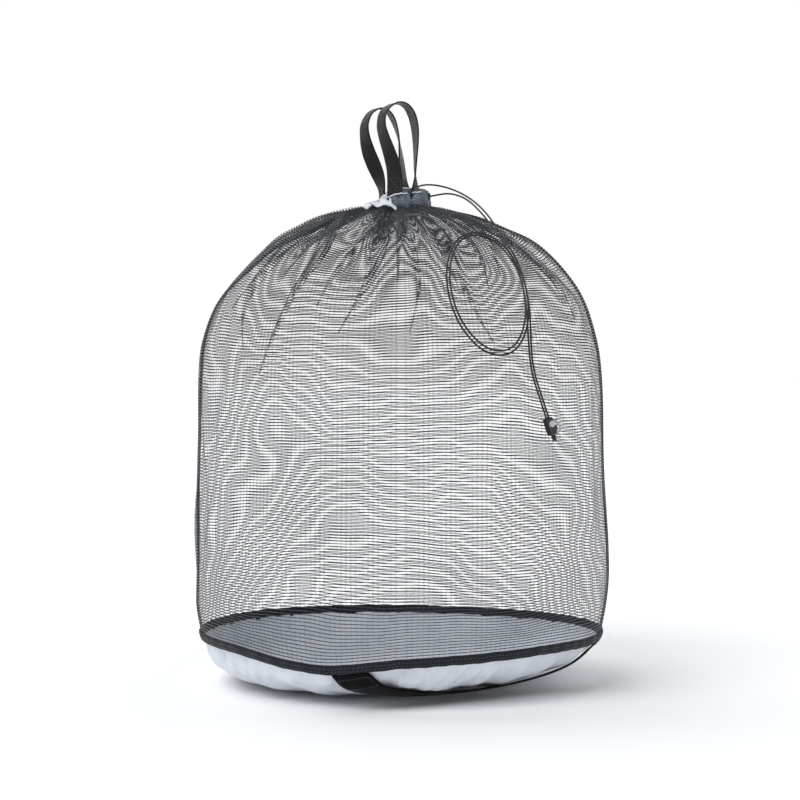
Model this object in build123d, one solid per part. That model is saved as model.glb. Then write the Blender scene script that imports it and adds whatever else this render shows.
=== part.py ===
from build123d import *
import os
from math import asin, cos, degrees, hypot, pi, radians, sin, tan

# A filled mesh laundry bag standing on its base, in millimetres. +Z is up, the front faces -Y,
# and the origin is the middle of the bag's footprint at the surface that it stands on.

# ---- driving dimensions --------------------------------------------------------------------
BASE_TOP = 40.0  # height of the seam round the base
BINDING_TOP = 52.0  # top of the binding tape over that seam
MESH_WALL = 1.2  # the mesh with its bulk
BASE_WALL = 1.6
SEAM_HALF_WIDTH = 6.0
SEAM_PROUD = 0.5  # the side seams stand out of the mesh by this, on each face

# outline of the mesh tube from the binding to the neck: (radius, height)
BAG_OUTLINE = [
    (201.0, BINDING_TOP), (205.0, 78.0), (205.5, 120.0), (203.5, 210.0), (202.0, 300.0),
    (196.0, 346.0), (178.0, 389.0), (137.0, 430.5), (104.0, 449.0), (70.0, 463.0), (24.0, 474.0),
]
# sections of the sagging base: (height, radius, how far its centre stands off to +X)
BASE_SECTIONS = [
    (0.0, 72.0, -40.0), (3.0, 112.0, -32.0), (10.0, 146.0, -22.0), (22.0, 176.0, -10.0),
    (BASE_TOP, 198.0, 0.0),
]

CUTTING_ROOM = 600.0  # side of the boxes that trim and split the bag, larger than the whole bag
ON_BASE = (Align.CENTER, Align.CENTER, Align.MIN)

NECK_R = 28.0  # outside of the gathered casing
NECK_HOLE_R = 20.0
NECK_BOTTOM, NECK_TOP = 470.0, 490.0
NECK_CLEAR_BELOW = 30.0  # the mesh stops at the casing's radius from here below it upwards
TUNNEL_WALL = 1.0
TUNNEL_BOTTOM = 476.0
FACING_WALL = 1.4
FACING_BOTTOM, FACING_TOP = 464.0, 490.8

CORD_D = 1.8
CORD_LOOP_R = 24.0  # the cord inside the casing
CORD_LOOP_Z = 483.0
CORD_HOLE_PLAY = 0.2
EYELET_R = 3.4
EYELET_PLAY = 0.6  # the strands already start to bend inside the eyelets
EYELET_HEIGHT = 1.8
EYELET_SINK = 0.6  # the side eyelet's disc starts this far inside the round of the casing

WEBBING_WIDTH, WEBBING_THICK = 15.0, 1.6
HANDLE_Y = 22.0  # each handle's plane stands off the middle by this
HINGE_Z = 499.0
TAB_BOTTOM, TAB_TOP = 476.0, 489.5
STITCH_THICK = 0.6
STITCH_BAR = 1.6  # height of a bar of stitches across a webbing end
STITCH_INSET = 1.5  # from the webbing's end to that bar
STITCH_SHARE = 0.8  # of the webbing's width

# centre lines of the two webbing loops from their left leg to their right: (x, height)
LEG_END_Z = HINGE_Z - WEBBING_WIDTH / 2
FRONT_LOOP = [
    (-7.0, LEG_END_Z), (-7.5, 508.0), (-13.0, 527.0), (-19.5, 546.0), (-18.0, 565.0),
    (-2.0, 575.0), (10.5, 565.0), (14.8, 545.0), (15.0, 515.0), (15.0, LEG_END_Z),
]
REAR_LOOP = [
    (-20.0, LEG_END_Z), (-22.0, 503.0), (-29.0, 520.0), (-36.0, 540.0), (-36.5, 561.0),
    (-23.0, 573.5), (-9.5, 567.0), (-2.5, 550.0), (0.5, 520.0), (4.0, LEG_END_Z),
]

STRAP_WIDTH, STRAP_THICK = 25.0, 1.6
STRAP_FROM_ANGLE, STRAP_TO_ANGLE = 256.0, 349.0  # where it leaves the seam, and comes back to it
STRAP_STITCH_MARGIN = 2.5
STRAP_STITCH_R = (182.0, 192.0)  # the stitches lie between these radii, just inside the seam

# The drawcord's two free strands, from inside the casing to the end knot. Each bends once round
# an oval loop that lies on the bag's front, passes over itself and hangs down to the cord lock.
STRAND_A = [
    (5.0, 23.5, 483.0), (12.0, 21.0, 494.5), (30.0, 14.5, 498.0), (57.0, -7.0, 489.5),
    (79.0, -50.0, 471.0), (96.0, -98.0, 442.0), (114.5, -128.7, 407.5), (120.8, -158.7, 362.0),
    (106.0, -178.5, 328.0), (75.5, -193.3, 328.0), (48.0, -193.9, 361.0), (39.2, -168.9, 407.0),
    (53.5, -127.1, 442.0), (86.0, -121.7, 443.0), (112.0, -141.3, 410.0), (119.2, -164.2, 373.0),
    (119.5, -171.4, 344.0), (121.8, -166.9, 315.0), (143.2, -151.8, 251.7),
]
STRAND_B = [
    (23.8, -3.3, 483.0), (36.0, -4.5, 485.5), (49.0, -9.0, 487.0), (64.0, -25.0, 481.0),
    (76.5, -52.0, 467.5), (93.0, -100.0, 442.0), (111.5, -130.6, 408.0), (117.8, -160.5, 363.0),
    (104.0, -179.0, 331.5), (77.0, -192.8, 332.0), (51.0, -193.4, 362.0), (42.2, -169.3, 406.5),
    (55.5, -128.6, 440.0), (84.0, -123.2, 440.5), (109.5, -142.7, 410.5), (116.2, -166.6, 373.0),
    (117.0, -173.3, 343.5), (119.7, -168.6, 313.8), (141.1, -153.5, 250.5),
]

# The cord lock, in its own frame: x across the two strands, y into the bag, z up along the cord.
LOCK_WIDTH, LOCK_LENGTH = 7.6, 17.0
LOCK_FRONT, LOCK_BACK = 3.5, 4.2  # from the cord to each face
LOCK_ROUND = 1.4
LOCK_GAP = 0.8  # between the lock and the knot that stops it
BUTTON_R, BUTTON_PLAY = 3.0, 0.12
BUTTON_Z = 2.6
BUTTON_TRAVEL = 0.8
BUTTON_PROUD = 1.2
BUTTON_BACK = 2.05
BUTTON_ROUND = 0.6
SLOT_PLAY = 0.15  # between the strands and the button's slot
BORE_END = 3.5
SPRING_COIL_R, SPRING_WIRE_R = 1.9, 0.14
SPRING_PLAY = 0.05
RING_X = 5.5  # axis that the ring swings on
RING_WIRE_R = 1.05
RING_CORNERS = [(RING_X, 8.6), (RING_X, -9.2), (12.6, -7.6)]
RING_RADII = [1.3, 2.2, 2.6]
KNUCKLE_R, KNUCKLE_PLAY = 2.05, 0.08
KNUCKLE_LOW, KNUCKLE_HIGH = -6.0, -1.6
KNOT_R = 2.8
KNOT_SHAPE = (1.0, 0.8, 0.75)


# ---- helpers -------------------------------------------------------------------------------
def vectors(points):
    return [Vector(*p) for p in points]


def ring(inner_r, outer_r, low, high):
    """A plain ring about Z."""
    return Pos(0, 0, low) * extrude(Circle(outer_r) - Circle(inner_r), high - low)


def side_points(curve, offset, steps=28):
    """Points beside a plane curve, given as (across, up) pairs: offset is to its left."""
    points = []
    for step in range(steps + 1):
        at, along = curve @ (step / steps), curve % (step / steps)
        points.append((at.X - along.Y * offset, at.Y + along.X * offset))
    return points


def band(curve, left, right):
    """The face between two curves that run beside a plane curve."""
    near, far = side_points(curve, left), side_points(curve, right)
    edges = [Spline(near), Line(near[-1], far[-1]), Spline(far), Line(far[0], near[0])]
    return make_face(Curve() + edges)


def bag_wall(proud, depth):
    """The bag's mesh tube as a full turn, from proud outside its outline to depth inside it."""
    outline = Spline(BAG_OUTLINE)
    wall = revolve(Plane.XZ * band(outline, -proud, depth), Axis.Z, 360)
    neck_room = Pos(0, 0, NECK_BOTTOM - NECK_CLEAR_BELOW) * Cylinder(
        NECK_R, CUTTING_ROOM, align=ON_BASE
    )
    trim = Box(CUTTING_ROOM, CUTTING_ROOM, CUTTING_ROOM, align=ON_BASE)
    return (wall - neck_room) & (Pos(0, 0, BINDING_TOP) * trim)


def base_skin(proud):
    """The filled bowl of the base, grown by proud along its own surface."""
    last = len(BASE_SECTIONS) - 1
    sections = []
    for i, (height, radius, shift) in enumerate(BASE_SECTIONS):
        below, above = BASE_SECTIONS[max(i - 1, 0)], BASE_SECTIONS[min(i + 1, last)]
        rise, run = above[0] - below[0], above[1] - below[1]
        slope = hypot(rise, run)
        if i == 0:
            height -= proud
        elif i == last:
            radius += proud * slope / rise
        else:
            height -= proud * run / slope
            radius += proud * rise / slope
        sections.append(Pos(shift, 0, height) * Circle(radius))
    return loft(sections)


def turned(part, angle):
    return Rot(0, 0, angle) * part


def cord_radii(points):
    """0.45 of the shorter run beside each corner, over the tangent of half its turn."""
    radii = []
    for before, corner, after in zip(points, points[1:], points[2:]):
        first, second = corner - before, after - corner
        half_turn = radians(first.get_angle(second)) / 2
        radii.append(0.45 * min(first.length, second.length) / tan(half_turn))
    return radii


def cord(name, route):
    """A round tube along straight runs and tangent arcs."""
    points = vectors(route)
    radii = cord_radii(points)
    path = FilletPolyline(*points, radius=radii)
    start = Plane(origin=path @ 0, z_dir=path % 0)
    tube = sweep(start * Circle(CORD_D / 2), path=path)
    expected = pi * (CORD_D / 2) ** 2 * path.length
    print(name, "length", round(path.length), "volume share", round(tube.volume / expected, 4))
    print(name, "radii", [round(r, 1) for r in radii])
    return tube


# ---- bag body ------------------------------------------------------------------------------
def bag_body():
    wall = bag_wall(0, MESH_WALL)
    seams = bag_wall(SEAM_PROUD, MESH_WALL + SEAM_PROUD)
    half = Box(
        CUTTING_ROOM, CUTTING_ROOM, CUTTING_ROOM, align=(Align.CENTER, Align.MAX, Align.MIN)
    )
    strip = Box(
        CUTTING_ROOM, 2 * SEAM_HALF_WIDTH, CUTTING_ROOM, align=(Align.MIN, Align.CENTER, Align.MIN)
    )
    return {
        "mesh_front_panel": wall & (Pos(0, -SEAM_HALF_WIDTH, 0) * half),
        "mesh_back_panel": wall & turned(Pos(0, -SEAM_HALF_WIDTH, 0) * half, 180),
        "side_seam_right": seams & strip,
        "side_seam_left": seams & turned(strip, 180),
    }


def base_and_binding():
    base = base_skin(0) - base_skin(-BASE_WALL)
    tape = make_face(Polyline(
        (196.6, BASE_TOP), (199.4, BASE_TOP), (202.2, BINDING_TOP), (199.4, BINDING_TOP), close=True
    ))
    return {"base_panel": base, "base_binding": revolve(Plane.XZ * tape, Axis.Z, 360)}


def bottom_strap():
    """Webbing drawn straight across under one side of the base, from seam to seam."""
    mid_angle = (STRAP_FROM_ANGLE + STRAP_TO_ANGLE) / 2
    seam_r = BASE_SECTIONS[-1][1]
    chord_off = seam_r * cos(radians(STRAP_TO_ANGLE - mid_angle))
    chord_length = 2 * seam_r * sin(radians(STRAP_TO_ANGLE - mid_angle))

    def slab(width):
        flat = Box(width, 1.4 * chord_length, BASE_TOP, align=ON_BASE)
        return turned(Pos(chord_off, 0, 0) * flat, mid_angle)

    strap = (base_skin(STRAP_THICK) - base_skin(0)) & slab(STRAP_WIDTH)
    stitched = base_skin(STRAP_THICK + STITCH_THICK) - base_skin(STRAP_THICK)
    bars = stitched & slab(STRAP_WIDTH - 2 * STRAP_STITCH_MARGIN)
    bars &= ring(*STRAP_STITCH_R, 0, BASE_TOP)
    return {"bottom_grab_strap": strap, "bottom_strap_stitching": bars}


# ---- neck, with the drawcord inside --------------------------------------------------------
def exit_tool(route, play):
    """A cylinder along the first run of a strand, wider than it all round by play."""
    radius = CORD_D / 2 + play
    start, end = vectors(route[:2])
    run = Plane(origin=start, z_dir=end - start)
    return extrude(run * Circle(radius), 1.5 * (end - start).length)


def neck():
    holes = exit_tool(STRAND_A, CORD_HOLE_PLAY) + exit_tool(STRAND_B, CORD_HOLE_PLAY)
    eyelet_holes = exit_tool(STRAND_A, EYELET_PLAY) + exit_tool(STRAND_B, EYELET_PLAY)
    tunnel = ring(
        NECK_HOLE_R + TUNNEL_WALL, NECK_R - TUNNEL_WALL, TUNNEL_BOTTOM, NECK_TOP - TUNNEL_WALL
    )
    casing = ring(NECK_HOLE_R, NECK_R, NECK_BOTTOM, NECK_TOP) - tunnel - holes
    facing = ring(NECK_HOLE_R - FACING_WALL, NECK_HOLE_R, FACING_BOTTOM, FACING_TOP)

    top_start, top_next = vectors(STRAND_A[:2])
    share = (NECK_TOP - top_start.Z) / (top_next.Z - top_start.Z)
    top_exit = top_start + (top_next - top_start) * share
    eyelet_top = Pos(top_exit.X, top_exit.Y, NECK_TOP) * Cylinder(
        EYELET_R, EYELET_HEIGHT, align=ON_BASE
    )
    side_start, side_next = vectors(STRAND_B[:2])
    share = (NECK_R - side_start.X) / (side_next.X - side_start.X)
    side_exit = side_start + (side_next - side_start) * share
    side_plane = Plane(
        origin=(NECK_R - EYELET_SINK, side_exit.Y, side_exit.Z), z_dir=(1, 0, 0)
    )
    eyelet_side = extrude(side_plane * Circle(EYELET_R), EYELET_HEIGHT + EYELET_SINK)
    eyelet_side -= Cylinder(NECK_R, CUTTING_ROOM, align=ON_BASE)

    first = Vector(*STRAND_A[0])
    last = Vector(*STRAND_B[0])
    start_angle = degrees(asin(first.Y / hypot(first.X, first.Y)))
    end_angle = 360 - degrees(asin(-last.Y / hypot(last.X, last.Y)))
    section = Plane.XZ * (Pos(CORD_LOOP_R, CORD_LOOP_Z) * Circle(CORD_D / 2))
    loop = turned(revolve(section, Axis.Z, end_angle - start_angle), start_angle)
    return {
        "neck_casing": casing,
        "neck_facing": facing,
        "cord_exit_eyelet_top": eyelet_top - eyelet_holes,
        "cord_exit_eyelet_side": eyelet_side - eyelet_holes,
        "drawcord_in_casing": loop,
    }


# ---- carrying handles ----------------------------------------------------------------------
def webbing_loop(line, y):
    """A loop of webbing whose two legs end in half rounds about the line that it swings on."""
    face = band(Spline(line, tangents=((0, 1), (0, -1))), WEBBING_THICK / 2, -WEBBING_THICK / 2)
    strip = extrude(Plane.XZ * face, WEBBING_WIDTH / 2, both=True)
    above = Pos(0, 0, HINGE_Z) * Box(CUTTING_ROOM, CUTTING_ROOM, CUTTING_ROOM, align=ON_BASE)
    below = Pos(0, 0, HINGE_Z) * (Rot(0, 90, 0) * Cylinder(WEBBING_WIDTH / 2, CUTTING_ROOM))
    return Pos(0, y, 0) * (strip & (above + below))


def sewn_end(x, front):
    """The end of a webbing loop, sewn flat to the outside of the casing, and its stitching."""
    outer_r = NECK_R + WEBBING_THICK
    lean = degrees(asin(x / outer_r))
    angle = -90 + lean if front else 90 - lean
    half_angle = degrees(WEBBING_WIDTH / 2 / outer_r)

    def patch(inner_r, thick, low, high, half):
        section = Plane.XZ * make_face(Polyline(
            (inner_r, low), (inner_r + thick, low), (inner_r + thick, high), (inner_r, high), close=True
        ))
        return turned(revolve(section, Axis.Z, 2 * half), angle - half)

    tab = patch(NECK_R, WEBBING_THICK, TAB_BOTTOM, TAB_TOP, half_angle)
    rows = [
        patch(outer_r, STITCH_THICK, low, low + STITCH_BAR, STITCH_SHARE * half_angle)
        for low in (TAB_BOTTOM + STITCH_INSET, TAB_TOP - STITCH_INSET - STITCH_BAR)
    ]
    return tab, rows


def handles():
    parts = {}
    stitches = []
    for place, line, y in (("front", FRONT_LOOP, -HANDLE_Y), ("rear", REAR_LOOP, HANDLE_Y)):
        parts[f"handle_{place}_loop"] = webbing_loop(line, y)
        for side, (x, _) in (("left", line[0]), ("right", line[-1])):
            tab, rows = sewn_end(x, place == "front")
            parts[f"handle_{place}_end_{side}"] = tab
            stitches += rows
    parts["handle_stitching"] = Compound(stitches)
    return parts


# ---- cord lock -----------------------------------------------------------------------------
def cord_lock():
    end_a, end_b = Vector(*STRAND_A[-1]), Vector(*STRAND_B[-1])
    up = (Vector(*STRAND_A[-2]) - end_a).normalized()
    knot_at = (end_a + end_b) * 0.5
    middle = knot_at + up * (LOCK_GAP + KNOT_R * 0.6 + LOCK_LENGTH / 2)
    frame = Plane(origin=middle, x_dir=end_a - end_b, z_dir=up)
    strand_x = (end_a - end_b).length / 2

    depth = LOCK_FRONT + LOCK_BACK
    body = Pos(0, (LOCK_BACK - LOCK_FRONT) / 2, 0) * Box(LOCK_WIDTH, depth, LOCK_LENGTH)
    body = fillet(body.edges(), LOCK_ROUND)
    knuckle_height = KNUCKLE_HIGH - KNUCKLE_LOW
    knuckle = Pos(RING_X, 0, KNUCKLE_LOW) * Cylinder(KNUCKLE_R, knuckle_height, align=ON_BASE)
    web_width = RING_X - LOCK_WIDTH / 2 + 1
    web = Pos(LOCK_WIDTH / 2 - 1, 0, KNUCKLE_LOW) * Box(
        web_width, KNUCKLE_R * 1.6, knuckle_height, align=(Align.MIN, Align.CENTER, Align.MIN)
    )
    body += knuckle + web
    body -= Pos(RING_X, 0, 0) * Cylinder(RING_WIRE_R + KNUCKLE_PLAY, LOCK_LENGTH)
    for x in (-strand_x, strand_x):
        body -= Pos(x, 0, 0) * Cylinder(CORD_D / 2 + CORD_HOLE_PLAY, 2 * LOCK_LENGTH)

    def across(radius, low, high):
        face = Plane(origin=(0, low, BUTTON_Z), z_dir=(0, 1, 0)) * Circle(radius)
        return extrude(face, high - low)

    body -= across(BUTTON_R + BUTTON_PLAY, -LOCK_FRONT - 1, BORE_END)
    button = across(BUTTON_R, -LOCK_FRONT - BUTTON_PROUD, BUTTON_BACK)
    button = fillet(button.edges().group_by(Axis.Y)[0], BUTTON_ROUND)
    slot_back = CORD_D / 2 + SLOT_PLAY
    slot_half = strand_x + slot_back
    slot_front = BUTTON_TRAVEL + slot_back
    slot = Pos(0, (slot_back - slot_front) / 2, BUTTON_Z) * Box(
        2 * slot_half, slot_front + slot_back, 4 * BUTTON_R
    )
    button -= slot

    coil_low = SPRING_WIRE_R + SPRING_PLAY
    coil_height = BORE_END - BUTTON_BACK - 2 * coil_low
    coil = Helix(pitch=coil_height / 2, height=coil_height, radius=SPRING_COIL_R)
    spring = sweep(Plane(origin=coil @ 0, z_dir=coil % 0) * Circle(SPRING_WIRE_R), path=coil)
    spring = Pos(0, BUTTON_BACK + coil_low, BUTTON_Z) * (Rot(-90, 0, 0) * spring)

    corners = [Vector(x, 0, z) for x, z in RING_CORNERS]
    wire = FilletPolyline(*corners, radius=RING_RADII, close=True)
    pull_ring = sweep(Plane(origin=wire @ 0, z_dir=wire % 0) * Circle(RING_WIRE_R), path=wire)

    knot = Pos(0, 0, -(middle - knot_at).length) * scale(Sphere(KNOT_R), by=KNOT_SHAPE)
    print("cord lock middle", middle, "up", frame.z_dir, "across", frame.x_dir, "in", frame.y_dir)
    print("ring axis through", frame.from_local_coords(Vector(RING_X, 0, 0)))
    local = {
        "cord_lock_housing": body, "cord_lock_button": button, "cord_lock_spring": spring,
        "cord_lock_ring": pull_ring, "cord_end_knot": knot,
    }
    return {name: frame.location * part for name, part in local.items()}


# ---- write ---------------------------------------------------------------------------------
parts = {}
parts.update(bag_body())
parts.update(base_and_binding())
parts.update(bottom_strap())
parts.update(neck())
parts.update(handles())
parts["drawcord_strand_a"] = cord("drawcord_strand_a", STRAND_A)
parts["drawcord_strand_b"] = cord("drawcord_strand_b", STRAND_B)
parts.update(cord_lock())

os.makedirs("parts", exist_ok=True)
for name, part in parts.items():
    part.label = name
    export_step(part, f"parts/{name}.step")
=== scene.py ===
import math

import bpy
import numpy as np
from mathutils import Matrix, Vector


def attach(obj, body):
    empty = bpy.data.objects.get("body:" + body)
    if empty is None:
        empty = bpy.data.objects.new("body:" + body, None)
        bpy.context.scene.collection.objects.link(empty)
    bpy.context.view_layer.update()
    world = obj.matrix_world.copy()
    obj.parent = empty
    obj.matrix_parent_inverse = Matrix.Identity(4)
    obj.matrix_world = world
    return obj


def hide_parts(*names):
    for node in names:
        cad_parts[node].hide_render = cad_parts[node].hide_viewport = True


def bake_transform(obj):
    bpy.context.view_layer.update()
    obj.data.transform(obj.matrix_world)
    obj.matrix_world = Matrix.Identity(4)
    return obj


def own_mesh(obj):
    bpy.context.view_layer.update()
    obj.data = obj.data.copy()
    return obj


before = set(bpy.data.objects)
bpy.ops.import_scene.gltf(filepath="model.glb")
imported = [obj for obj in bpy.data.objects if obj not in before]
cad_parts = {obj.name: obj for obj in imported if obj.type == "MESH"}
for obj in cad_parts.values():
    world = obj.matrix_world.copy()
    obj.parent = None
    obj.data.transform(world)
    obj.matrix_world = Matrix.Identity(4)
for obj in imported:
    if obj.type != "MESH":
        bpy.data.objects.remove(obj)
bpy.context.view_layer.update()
TURN = 2 * math.pi


# ---- camera --------------------------------------------------------------------------------
CAMERA_X, CAMERA_DISTANCE, CAMERA_HEIGHT = -0.001, 2.2, 0.35
VIEW_WIDTH = 0.8  # seen across at the bag's middle
AIM_HEIGHT = 0.281
SENSOR = 36.0


def new_object(name, data):
    made = bpy.data.objects.new(name, data)
    bpy.context.scene.collection.objects.link(made)
    return made


def make_camera():
    data = bpy.data.cameras.new("camera")
    data.sensor_width = SENSOR
    data.lens = SENSOR * CAMERA_DISTANCE / VIEW_WIDTH
    camera = new_object("camera", data)
    camera.location = (CAMERA_X, -CAMERA_DISTANCE, CAMERA_HEIGHT)
    aim = Vector((CAMERA_X, 0, AIM_HEIGHT)) - camera.location
    camera.rotation_euler = aim.to_track_quat("-Z", "Y").to_euler()
    bpy.context.scene.camera = camera


# ---- small sums ----------------------------------------------------------------------------
def unit(v):
    return v / np.maximum(np.linalg.norm(v, axis=-1, keepdims=True), 1e-12)


def rise(x, start, span):
    """0 up to start, 1 from start + span on, and smooth between them."""
    x = np.clip((x - start) / span, 0, 1)
    return x * x * (3 - 2 * x)


def turn_from(theta, middle):
    """The angle from middle to theta, the short way round."""
    return (theta - middle + math.pi) % TURN - math.pi


def around_axis(radius, theta, height):
    """Points at radii and plan angles round the bag's upright axis."""
    parts = np.broadcast_arrays(radius * np.cos(theta), radius * np.sin(theta), height)
    return np.stack(parts, -1)


def distances(points):
    """How far along a line each of its points is."""
    return np.concatenate([[0], np.cumsum(np.linalg.norm(np.diff(points, axis=0), axis=1))])


def read_at(at, along, values):
    """Every column of values, which belong to the places in along, read at other places."""
    return np.stack([np.interp(at, along, column) for column in values.T], -1)


def catmull(points, count):
    """count points evenly spaced along a smooth curve through points. What is beside x, y, z in
    them is carried along."""
    p = np.asarray(points, float)
    p = np.concatenate([[2 * p[0] - p[1]], p, [2 * p[-1] - p[-2]]])
    t = np.linspace(0, 1, 24, endpoint=False)[:, None]
    runs = []
    for a, b, c, d in zip(p, p[1:], p[2:], p[3:]):
        runs.append(0.5 * (2 * b + (c - a) * t + (2 * a - 5 * b + 4 * c - d) * t**2
                           + (3 * b - a - 3 * c + d) * t**3))
    fine = np.concatenate([*runs, p[-2:-1]])
    along = distances(fine[:, :3])
    return read_at(np.linspace(0, along[-1], count), along, fine)


# ---- mesh building -------------------------------------------------------------------------
def new_piece(name, shape, material, nodes=(), body="root", uv=None, uv_name="cloth",
              smooth=True):
    """A mesh object of shape, which is points and arrays of faces, all faces of an array alike.
    It rides on body and stands for the CAD nodes."""
    verts, faces = shape
    mesh = bpy.data.meshes.new(name)
    corners = np.concatenate([f.ravel() for f in faces]).astype(np.int32)
    sizes = np.concatenate([np.full(len(f), f.shape[1], np.int32) for f in faces])
    starts = np.concatenate([[0], np.cumsum(sizes)[:-1]]).astype(np.int32)
    mesh.vertices.add(len(verts))
    mesh.vertices.foreach_set("co", np.asarray(verts, np.float32).ravel())
    mesh.loops.add(len(corners))
    mesh.loops.foreach_set("vertex_index", corners)
    mesh.polygons.add(len(sizes))
    mesh.polygons.foreach_set("loop_start", starts)
    mesh.update(calc_edges=True)
    if uv is not None:
        layer = mesh.uv_layers.new(name=uv_name)
        layer.data.foreach_set("uv", np.asarray(uv, np.float32)[corners].ravel())
    mesh.polygons.foreach_set("use_smooth", np.full(len(sizes), smooth))
    mesh.materials.append(material)
    mesh.validate()
    piece = new_object(name, mesh)
    if body:
        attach(piece, body)
    if nodes:
        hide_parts(*nodes)
    return piece


def grid_faces(rows, columns, wrap_rows=False, wrap_columns=False, first=0):
    """Quads over points laid out row by row."""
    r = np.arange(rows if wrap_rows else rows - 1)[:, None]
    c = np.arange(columns if wrap_columns else columns - 1)[None]
    up, on = (r + 1) % rows, (c + 1) % columns
    quads = np.stack([r * columns + c, r * columns + on, up * columns + on, up * columns + c], -1)
    return quads.reshape(-1, 4) + first


def repeated(faces, points, count):
    """The same faces for each of count runs of that many points."""
    return (faces[None] + points * np.arange(count)[:, None, None]).reshape(-1, faces.shape[1])


def closed_sheet(outer, inner):
    """A cloth with thickness: two grids of points, joined round their edges."""
    rows, columns = outer.shape[:2]
    count = rows * columns
    verts = np.concatenate([outer.reshape(-1, 3), inner.reshape(-1, 3)])
    top = grid_faces(rows, columns)
    index = np.arange(count).reshape(rows, columns)
    rim = np.concatenate([index[0], index[1:, -1], index[-1, -2::-1], index[-2:0:-1, 0]])
    after = np.roll(rim, -1)
    edge = np.stack([after, rim, rim + count, after + count], -1)
    return verts, [np.concatenate([top, top[:, ::-1] + count, edge])]


def ring_tube(grid):
    """A ring whose section is closed too: a grid of points that runs round both ways."""
    faces = grid_faces(*grid.shape[:2], wrap_rows=True, wrap_columns=True)
    return grid.reshape(-1, 3), [faces[:, ::-1]]


def grid_uv(across, along):
    return np.stack(np.broadcast_arrays(across, along), -1).reshape(-1, 2)


def sheet_uv(across, along):
    """Metres across and along a cloth, for both its faces."""
    return np.tile(grid_uv(across, along), (2, 1))


def ring_sheet(outer, inner):
    """The same for rows that run right round, closed at the last row alone. It also gives the
    first row's points and the ones after them."""
    rows, columns = outer.shape[:2]
    count = rows * columns
    verts = np.concatenate([outer.reshape(-1, 3), inner.reshape(-1, 3)])
    top = grid_faces(rows, columns, wrap_columns=True)
    ring = np.arange(columns)
    on = (ring + 1) % columns
    last = count - columns
    edge = np.stack([ring, on, on + count, ring + count], -1) + last
    return verts, np.concatenate([top, top[:, ::-1] + count, edge]), ring, on


def tube(path, radius, sides=8, wobble=None):
    """A closed tube along a path. wobble multiplies the radius, (path, side)."""
    path = np.asarray(path, float)
    tangent = unit(np.gradient(path, axis=0))
    normal = np.zeros_like(path)
    seed = np.array([0, 0, 1.0]) if abs(tangent[0, 2]) < 0.9 else np.array([1.0, 0, 0])
    normal[0] = unit(seed - tangent[0] * (seed @ tangent[0]))
    for i in range(1, len(path)):
        normal[i] = unit(normal[i - 1] - tangent[i] * (normal[i - 1] @ tangent[i]))
    side = np.cross(tangent, normal)
    angle = np.linspace(0, TURN, sides, endpoint=False)[None, :, None]
    spread = radius * (np.ones((len(path), sides)) if wobble is None else wobble)
    ring = np.cos(angle) * normal[:, None] + np.sin(angle) * side[:, None]
    verts = (path[:, None] + ring * spread[..., None]).reshape(-1, 3)
    ends = len(verts)
    verts = np.concatenate([verts, path[:1], path[-1:]])
    around = np.arange(sides)
    on = (around + 1) % sides
    last = ends - sides
    caps = np.concatenate([
        np.stack([on, around, np.full(sides, ends)], -1),
        np.stack([last + around, last + on, np.full(sides, ends + 1)], -1),
    ])
    return verts, [grid_faces(len(path), sides, wrap_columns=True), caps]


def threads(centres, across, normal, section):
    """Closed threads through rows of points, (row, point, 3). section is the corners of one
    thread, each as how far across and how far out."""
    rows, count = centres.shape[:2]
    sides = len(section)
    corners = (centres[:, :, None] + across[:, :, None] * section[:, :1]
               + normal[:, :, None] * section[:, 1:])
    one = grid_faces(count, sides, wrap_columns=True)
    order = np.arange(sides)
    caps = np.stack([order[::-1], order + (count - 1) * sides])
    points = count * sides
    return corners.reshape(-1, 3), [repeated(one, points, rows), repeated(caps, points, rows)]


def join_parts(parts):
    """One set of points and faces from several."""
    verts, faces, count = [], {}, 0
    for v, groups in parts:
        verts.append(v)
        for f in groups:
            faces.setdefault(f.shape[1], []).append(f + count)
        count += len(v)
    return np.concatenate(verts), [np.concatenate(f) for f in faces.values()]


STITCH_RING = 6
STITCH_PROFILE = np.array([  # along the thread, in shares of its length, and how fat it is there
    (-0.5, 0.02), (-0.42, 0.7), (-0.15, 1.0), (0.15, 1.0), (0.42, 0.7), (0.5, 0.02),
])
CLEAR = 0.0001  # between the cloth and the line of the stitches on it


def stitches(path, up, length, thick, gap):
    """A row of separate short threads along a path, each lying on the cloth whose normal is up."""
    along = distances(path)
    count = max(1, int(along[-1] / (length + gap)))
    centres = (np.arange(count) + 0.5) * along[-1] / count
    middle = read_at(centres, along, path)
    ends = [read_at(centres + shift, along, path) for shift in (length / 2, -length / 2)]
    tangent = unit(ends[0] - ends[1])
    normal = unit(read_at(centres, along, up))
    side = np.cross(tangent, normal)
    angle = np.linspace(0, TURN, STITCH_RING, endpoint=False)[:, None, None]
    ring = np.cos(angle) * side[None] + np.sin(angle) * normal[None]
    lengthwise, fat = (STITCH_PROFILE * (length, thick)).T[..., None, None, None]
    verts = middle + lengthwise * tangent + fat * ring
    verts = verts.transpose(2, 0, 1, 3).reshape(-1, 3)
    points = len(STITCH_PROFILE) * STITCH_RING
    one = grid_faces(len(STITCH_PROFILE), STITCH_RING, wrap_columns=True)
    order = np.arange(STITCH_RING)
    caps = np.stack([order[::-1], order + points - STITCH_RING])
    return verts, [repeated(f, points, count)[:, ::-1] for f in (one, caps)]


def add_stitches(name, rows, material, nodes=(), body="root"):
    verts, faces = join_parts(rows)
    low, high = verts.min(0), verts.max(0)
    uv = ((verts - low) / np.maximum(high - low, 1e-6))[:, [0, 2]]
    return new_piece(name, (verts, faces), material, nodes, body, uv, "OFBake")


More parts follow.
